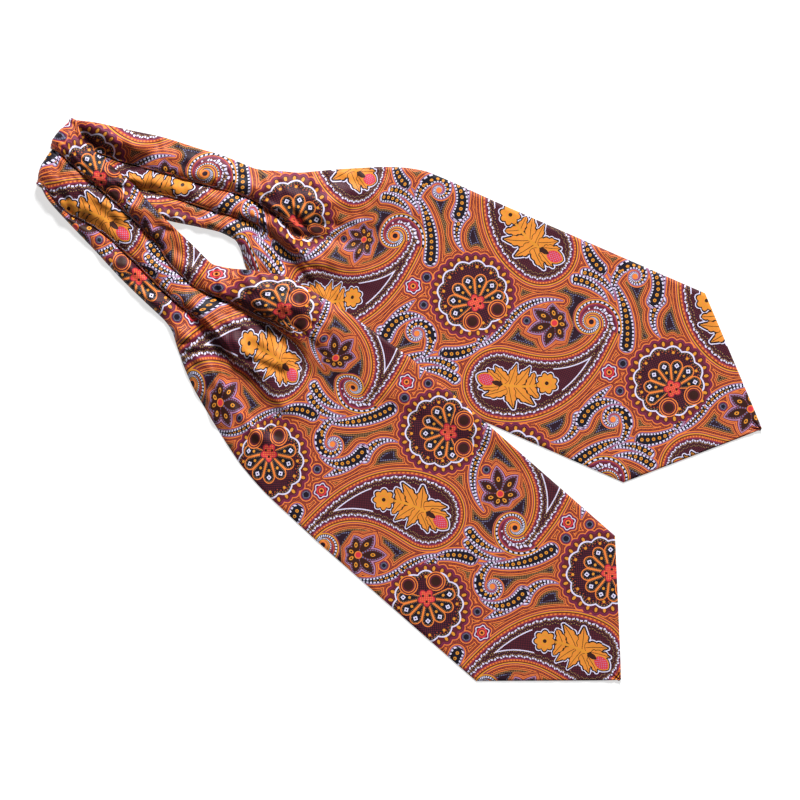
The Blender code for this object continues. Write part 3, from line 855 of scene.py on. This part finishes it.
def design(u, v):
    cloth = Cloth(u * 0.0 + float(GROUND))
    mid = (BOTEH_HEAD[0] + 22.0, BOTEH_HEAD[1] + 14.0)
    bx, by = nearest(u, v, mid)
    boteh, boteh_t, boteh_x, boteh_y = boteh_shape(bx + (mid[0] - BEND_CENTRE[0]), by + (mid[1] - BEND_CENTRE[1]))
    hx, hy = nearest(u, v, HOOK_CENTRE)
    hook, hook_y, hook_turn, hook_r = spiral_shape(hx, hy, HOOK_RADIUS, HOOK_RATE, TAIL_HALF / HOOK_RADIUS)
    whole = smaller(boteh, hook)
    px, py = nearest(u, v, PALMETTE)
    palm_r = length(px, py)
    palm_a = op("ARCTAN2", py, px)
    palm = palm_r - size(op("SINE", palm_a * 14.0)) * 1.8 - (PALMETTE_RADIUS - 1.4)
    rx, ry = nearest(u, v, ROSETTE)
    rose_r = length(rx, ry)
    rose_a = op("ARCTAN2", ry, rx)
    rose_turn = wrap(rose_a - ROSETTE_AXIS, FULL / 7)
    rose_x = rose_r * op("COSINE", rose_turn)
    rose_y = rose_r * op("SINE", rose_turn)
    rose_long = op("MULTIPLY_ADD", op("COSINE", rose_a - ROSETTE_AXIS), 5.5, 16.5)
    rose_part = rose_x / rose_long
    rose = size(rose_y) - (rose_part * (1.0 - rose_part)) * 21.0
    rose = larger(rose, rose_x - rose_long)
    cx, cy = nearest(u, v, CURL)
    curl, curl_y, curl_turn, curl_r = spiral_shape(cx, cy, CURL_RADIUS, CURL_RATE, 0.40)
    ex, ey = nearest(u, v, BEAD)
    bead_r = length(ex, ey)
    bead = bead_r - 6.2 - op("COSINE", op("ARCTAN2", ey, ex) * 6.0) * 0.6
    islands = [length(*nearest(u, v, place)) - reach for place, reach in ISLANDS]
    island = smaller(*islands)
    leaves = [leaf_shape(u, v, *row) for row in LEAVES]
    everything = smaller(whole, palm, rose - 1.8, curl, bead, island, *[leaf[0] for leaf in leaves])

    # ground: lines that echo the motifs, and small dark spaces with a stippled border
    fine = dots(u, v, 1.9, 0.5)
    cloth.lay(below(everything, 0.7), MAGENTA)
    cloth.lay(line(everything, 1.3, 0.8), ORANGE)
    cloth.lay(line(everything, 2.0, 0.6), BURGUNDY)
    cloth.lay(line(everything, 3.0, 1.0) * fine, BURGUNDY)
    cloth.lay(line(everything, 3.8, 0.6), ORANGE)
    cloth.lay(line(everything, 4.45, 0.6), BURGUNDY)
    cloth.lay(line(everything, 5.1, 0.5), ORANGE)
    cloth.lay(above(everything, 5.4), BROWN)
    cloth.lay(line(everything, 6.3, 1.7) * fine, TAN)
    cloth.lay(above(everything, 7.2), PLUM)
    cloth.lay(line(everything, 8.2, 1.2) * dots(u, v, 2.4, 0.55), STEEL)

    # leaves
    for edge, t, across in leaves:
        beads = dash(t, 2.7, 0.56)
        cloth.lay(below(edge, 0.35), LILAC)
        cloth.lay(below(edge, -0.1), NAVY)
        cloth.lay(line(edge, -0.95, 1.3) * beads, WHITE)
        cloth.lay(below(edge, -2.2) * below(length(wrap(t, 4.6), across), 1.35), GOLD)
        cloth.lay(below(edge, -2.2) * below(length(wrap(t, 4.6), across), 0.5), BROWN)

    # curl
    curl_t = curl_turn * 8.0
    cloth.lay(below(curl, 0.35), LILAC)
    cloth.lay(below(curl, -0.1), NAVY)
    cloth.lay(line(curl, -0.9, 1.2) * dash(curl_t, 2.7, 0.56), WHITE)
    cloth.lay(below(curl, -1.6) * below(length(wrap(curl_t, 4.2), curl_y), 1.1), GOLD)
    cloth.lay(below(curl_r, 2.2), ORANGE)

    # beads and islands
    cloth.lay(below(bead, 0.0), BURGUNDY)
    cloth.lay(line(bead, -1.0, 0.8), WHITE)
    cloth.lay(line(bead_r, 3.4, 1.2), RED)
    cloth.lay(below(bead_r, 2.2), ORANGE)
    cloth.lay(below(bead_r, 1.1), BROWN)
    cloth.lay(below(island, 0.0), BROWN)
    cloth.lay(line(island, -0.9, 1.1) * dots(u, v, 1.4, 0.4), STEEL)
    cloth.lay(below(island, -1.6), NAVY)

    # boteh and its hook
    whole_t = choose(below(hook, boteh), hook_turn * 12.4 + TAIL_LENGTH, boteh_t)
    cloth.lay(below(whole, 0.0), BURGUNDY)
    cloth.lay(line(whole, -0.5, 1.0), GOLD)
    cloth.lay(line(whole, -1.35, 0.6), BROWN)
    cloth.lay(line(whole, -2.7, 2.0), GROUND)
    cloth.lay(line(whole, -2.7, 1.1) * dash(whole_t, 2.6, 0.5), ORANGE)
    cloth.lay(line(whole, -4.0, 0.8), MAGENTA)
    cloth.lay(line(hook, -2.0, 1.9), NAVY)
    cloth.lay(line(hook, -2.0, 1.2) * dash(whole_t, 2.7, 0.56), WHITE)
    wave = whole + scallop(whole_t, 6.2) * 1.2
    cloth.lay(below(wave, -5.0), PLUM)
    cloth.lay(line(wave, -5.2, 1.3) * dash(whole_t, 2.5, 0.66), WHITE)
    cloth.lay(line(wave, -6.5, 0.9) * dash(whole_t, 1.7, 0.55), TAN)
    cloth.lay(line(wave, -7.8, 0.9) * dash(whole_t + 0.9, 1.7, 0.5), BURGUNDY)
    cloth.lay(line(wave, -9.1, 0.8) * dash(whole_t, 1.7, 0.5), TAN)
    cloth.lay(below(boteh, -10.4) * dots(u, v, 1.9, 0.5), BURGUNDY)
    cloth.lay(line(boteh, -11.0, 0.9) * above(boteh_x, 46.0), WHITE)
    cloth.lay(below(hook_r, 3.4), ORANGE)
    cloth.lay(below(hook_r, 2.0), PLUM)

    # spray: a stem with pairs of gold leaves, a flower at one end and a pointed bud at the other
    side = size(boteh_y)
    bud = lens(boteh_x, boteh_y, -11.0, 7.2, 4.8)
    heart = lens(boteh_x, boteh_y, -2.0, 4.6, 2.0)
    pairs = [drop_shape(boteh_x, side, *row) for row in SPRAY_LEAVES]
    pairs = [(edge - size(op("SINE", t * 0.62)) * below(t, 9.0) * 0.9, t, y) for edge, t, y in pairs]
    fr = length(boteh_x - 37.0, boteh_y)
    flower = fr - op("MULTIPLY_ADD", size(op("COSINE", op("ARCTAN2", boteh_y, boteh_x - 37.0) * 4.0)), 1.9, 6.0)
    stem = length(larger(size(boteh_x - 13.0) - 19.0, 0.0), boteh_y) - 1.0
    spray = smaller(flower, stem, bud, *[edge for edge, _, _ in pairs])
    cloth.lay(below(spray, 2.3), PLUM)
    cloth.lay(line(spray, 1.6, 0.8), WHITE)
    for edge, t, y in pairs:
        cloth.lay(below(edge, 0.5), BROWN)
        cloth.lay(below(edge, 0.0), GOLD)
        cloth.lay(line(edge, -0.75, 0.5), ORANGE)
        cloth.lay(below(op("PINGPONG", t - size(y) * 1.3, 0.9), 0.26) * below(edge, -0.9), ORANGE)
        cloth.lay(line(y, 0.0, 0.45) * below(edge, -0.4), BROWN)
    cloth.lay(below(stem, 0.0), GOLD)
    cloth.lay(below(flower, 0.45), BROWN)
    cloth.lay(below(flower, 0.0), GOLD)
    cloth.lay(line(flower, -0.9, 0.5), ORANGE)
    cloth.lay(line(fr, 3.4, 0.6), ORANGE)
    cloth.lay(below(fr, 1.5), BROWN)
    cloth.lay(below(bud, 0.4), GOLD)
    cloth.lay(below(bud, -0.3) * below(boteh_x, -5.4), RED)
    cloth.lay(below(bud, -0.9) * below(boteh_x, -5.8) * dots(boteh_x, boteh_y, 2.2, 0.42), LILAC)
    cloth.lay(below(heart, 0.0), BROWN)

    # palmette
    cloth.lay(below(palm, 0.0), BURGUNDY)
    cloth.lay(line(palm, -0.9, 0.6), MAGENTA)
    tooth = length(wrap(palm_a + FULL / 56, FULL / 28) * palm_r, (palm_r - 29.4) * 0.62)
    cloth.lay(below(tooth, 1.5), BROWN)
    cloth.lay(below(tooth, 1.15), GOLD)
    scal = palm_r - size(op("SINE", palm_a * 6.0)) * 2.6
    cloth.lay(below(scal, 25.2), PLUM)
    cloth.lay(line(scal, 25.0, 1.3), WHITE)
    cloth.lay(line(scal, 23.3, 0.9) * dash(palm_a * 22.0, 1.9, 0.5), TAN)
    cloth.lay(line(scal, 21.7, 0.9) * dash(palm_a * 20.0, 2.1, 0.45), GROUND)
    cloth.lay(below(scal, 20.4) * dots(px, py, 2.3, 0.55), BURGUNDY)
    cloth.lay(below(length(wrap(palm_a + FULL / 24, FULL / 12) * palm_r, palm_r - 22.8), 1.5), BROWN)
    cloth.lay(below(length(wrap(palm_a + FULL / 24, FULL / 12) * palm_r, palm_r - 22.8), 1.15), GOLD)
    gx = px - (FAN_BASE[0] - PALMETTE[0])
    gy = py - (FAN_BASE[1] - PALMETTE[1])
    fan_r = length(gx, gy)
    fan_a = wrap(op("ARCTAN2", gy, gx) - FAN_AXIS, FULL)
    fan_side = wrap(fan_a, PETAL_TURN) * fan_r
    petal = length(larger(fan_r - 17.8, 0.0), fan_side) - op("MINIMUM", fan_r * 0.262, 4.8)
    fan = below(size(fan_a), PETAL_TURN * PETALS / 2)
    cloth.lay(fan * below(petal, 0.3), ORANGE)
    cloth.lay(fan * below(petal, -0.6), NAVY)
    cloth.lay(fan * line(petal, -1.2, 0.5) * dash(fan_r, 1.4, 0.5), TAN)
    gem = size(fan_r - 18.2) + size(fan_side)
    cloth.lay(fan * below(gem, 2.1), WHITE)
    cloth.lay(fan * below(gem, 0.8), NAVY)
    cloth.lay(fan * below(length(fan_r - 13.2, fan_side), 1.1), GOLD)
    for place in DISCS:
        disc_r = length(px - (place[0] - PALMETTE[0]), py - (place[1] - PALMETTE[1]))
        cloth.lay(below(disc_r, 7.6), ORANGE)
        cloth.lay(below(disc_r, 6.8), BURGUNDY)
        cloth.lay(line(disc_r, 5.4, 0.7), ORANGE)
        cloth.lay(below(disc_r, 3.7), BROWN)
    knot = fan_r - op("MULTIPLY_ADD", size(op("COSINE", fan_a * 2.5)), 2.6, 4.2)
    cloth.lay(below(knot, 0.9), BURGUNDY)
    cloth.lay(below(knot, 0.0), RED)
    cloth.lay(below(knot, -1.0) * dots(gx, gy, 2.1, 0.45), ORANGE)
    cloth.lay(below(length(fan_r - 3.0, wrap(fan_a, FULL / 3) * 3.0), 1.0), BROWN)

    # rosette of pointed petals
    cloth.lay(below(rose, 2.2), GROUND)
    cloth.lay(line(rose, 1.7, 0.7), ORANGE)
    cloth.lay(below(rose, 0.9), BURGUNDY)
    cloth.lay(below(rose, 0.4), LILAC)
    cloth.lay(below(rose, -0.6), BURGUNDY)
    cloth.lay(line(rose, -1.5, 0.8) * dash(rose_x, 1.9, 0.5), STEEL)
    cloth.lay(below(rose, -2.2), BROWN)
    eye = length((rose_x - rose_long * 0.52) * 0.7, rose_y)
    cloth.lay(below(eye, 1.35), GOLD)
    cloth.lay(below(eye, 0.6), BROWN)
    cloth.lay(below(rose_r, 3.0), ORANGE)
    cloth.lay(below(rose_r, 2.2), RED)
    return cloth.ink


def linear(value):
    """One channel of a screen colour, 0 to 255, as light."""
    value = value / 255.0
    if value <= 0.04045:
        return value / 12.92
    return ((value + 0.055) / 1.055) ** 2.4


TWILL_PITCH = 0.8        # from rib to rib of the weave, in millimetres
TWILL_DEPTH = 0.05
DYE_SCALE = 0.35         # patches of dye, to the millimetre
DYE_SPREAD = 0.09        # how far the dye's strength strays either way


def silk_material():
    """Printed silk twill."""
    material = bpy.data.materials.new("printed_silk")
    material.use_nodes = True
    tree = material.node_tree
    shader = tree.nodes["Principled BSDF"]
    attribute = tree.nodes.new("ShaderNodeAttribute")
    attribute.attribute_type = "GEOMETRY"
    attribute.attribute_name = "print"
    split = tree.nodes.new("ShaderNodeSeparateXYZ")
    tree.links.new(attribute.outputs["Vector"], split.inputs[0])
    u = Field(tree, split.outputs[0])
    v = Field(tree, split.outputs[1])
    ink = (design(u, v) + 0.5) / float(INKS)
    ramp = tree.nodes.new("ShaderNodeValToRGB")
    ramp.color_ramp.interpolation = "CONSTANT"
    stops = ramp.color_ramp.elements
    while len(stops) < len(INK_COLOURS):
        stops.new(0.5)
    for number, colour in sorted(INK_COLOURS.items()):
        stops[number].position = number / INKS
        stops[number].color = [linear(channel) for channel in colour] + [1.0]
    tree.links.new(ink.socket, ramp.inputs[0])
    # uneven dye, and the diagonal ribs of the twill
    dye = tree.nodes.new("ShaderNodeTexNoise")
    dye.inputs["Scale"].default_value = DYE_SCALE
    dye.inputs["Detail"].default_value = 4.0
    tree.links.new(attribute.outputs["Vector"], dye.inputs["Vector"])
    tone = op("MULTIPLY_ADD", Field(tree, dye.outputs[0]), 2.0 * DYE_SPREAD, 1.0 - DYE_SPREAD)
    shade = tree.nodes.new("ShaderNodeHueSaturation")
    tree.links.new(ramp.outputs[0], shade.inputs["Color"])
    tree.links.new(tone.socket, shade.inputs["Value"])
    tree.links.new(shade.outputs[0], shader.inputs["Base Color"])
    ribs = op("SINE", (u + v) * (FULL_TURN / TWILL_PITCH))
    bump = tree.nodes.new("ShaderNodeBump")
    bump.inputs["Strength"].default_value = 0.35
    bump.inputs["Distance"].default_value = TWILL_DEPTH * MM
    tree.links.new(ribs.socket, bump.inputs["Height"])
    tree.links.new(bump.outputs[0], shader.inputs["Normal"])
    shader.inputs["Roughness"].default_value = 0.5
    shader.inputs["Specular IOR Level"].default_value = 0.16
    return material


def plain_material(name, colour, roughness):
    material = bpy.data.materials.new(name)
    material.use_nodes = True
    shader = material.node_tree.nodes["Principled BSDF"]
    shader.inputs["Base Color"].default_value = (*colour, 1.0)
    shader.inputs["Roughness"].default_value = roughness
    return material


def add_light(name, place, target, size, power):
    data = bpy.data.lights.new(name, "AREA")
    data.shape = "SQUARE"
    data.size = size
    data.energy = power
    light = bpy.data.objects.new(name, data)
    light.location = place
    light.rotation_euler = (Vector(target) - Vector(place)).to_track_quat("-Z", "Y").to_euler()
    bpy.context.scene.collection.objects.link(light)


def add_studio():
    """A pale table, soft lights and the camera straight above."""
    mesh = bpy.data.meshes.new("table_top")
    half = 2.5
    corners = [(-half, -half, 0.0), (half, -half, 0.0), (half, half, 0.0), (-half, half, 0.0)]
    mesh.from_pydata(corners, [], [(0, 1, 2, 3)])
    pale = plain_material("pale_table", (0.4, 0.4, 0.4), 0.8)
    shader = pale.node_tree.nodes["Principled BSDF"]
    shader.inputs["Emission Color"].default_value = (1.0, 1.0, 1.0, 1.0)
    shader.inputs["Emission Strength"].default_value = 0.65
    mesh.materials.append(pale)
    floor = bpy.data.objects.new("table_top", mesh)
    floor.location.z = -0.0003
    bpy.context.scene.collection.objects.link(floor)
    add_light("key_light", (0.6, 3.6, 2.7), (0.0, 0.0, 0.0), 1.1, 412.0)
    world = bpy.data.worlds.new("studio")
    world.use_nodes = True
    background = world.node_tree.nodes["Background"]
    background.inputs["Color"].default_value = (1.0, 1.0, 1.0, 1.0)
    background.inputs["Strength"].default_value = 0.13
    scene = bpy.context.scene
    scene.world = world
    scene.view_settings.view_transform = "Standard"
    data = bpy.data.cameras.new("camera")
    data.lens = 200.0
    data.sensor_width = 36.0
    data.clip_end = 20.0
    camera = bpy.data.objects.new("camera", data)
    view_width = 0.624
    distance = view_width * data.lens / data.sensor_width
    camera.location = (0.00014, 0.00049, distance)
    scene.collection.objects.link(camera)
    scene.camera = camera


def cut_area(half, length):
    """Flat area of a half in square metres: its cloth without the two corners beside its point."""
    corners = 0.5 * (half.left_corner * half.rows[-1].left - half.right_corner * half.rows[-1].right)
    return (half.width * length - corners) * MM * MM


def main():
    material = silk_material()
    over = build_half(OVER, "half_over", OVER_ROWS[0].back, True)
    under = build_half(UNDER, "half_under", UNDER_ROWS[0].back - SEAM_GAP, False)
    for piece in (over, under):
        piece.data.materials.append(material)
        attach(piece, "root")
    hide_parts("band_over", "blade_over")
    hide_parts("band_under", "blade_under")
    over_length = OVER_ROWS[0].back + TURN_LENGTH
    under_length = UNDER_ROWS[0].back
    OVER.width * MM
    over_length * MM
    cut_area(OVER, over_length)
    UNDER.width * MM
    under_length * MM
    cut_area(UNDER, under_length)
    add_studio()


main()
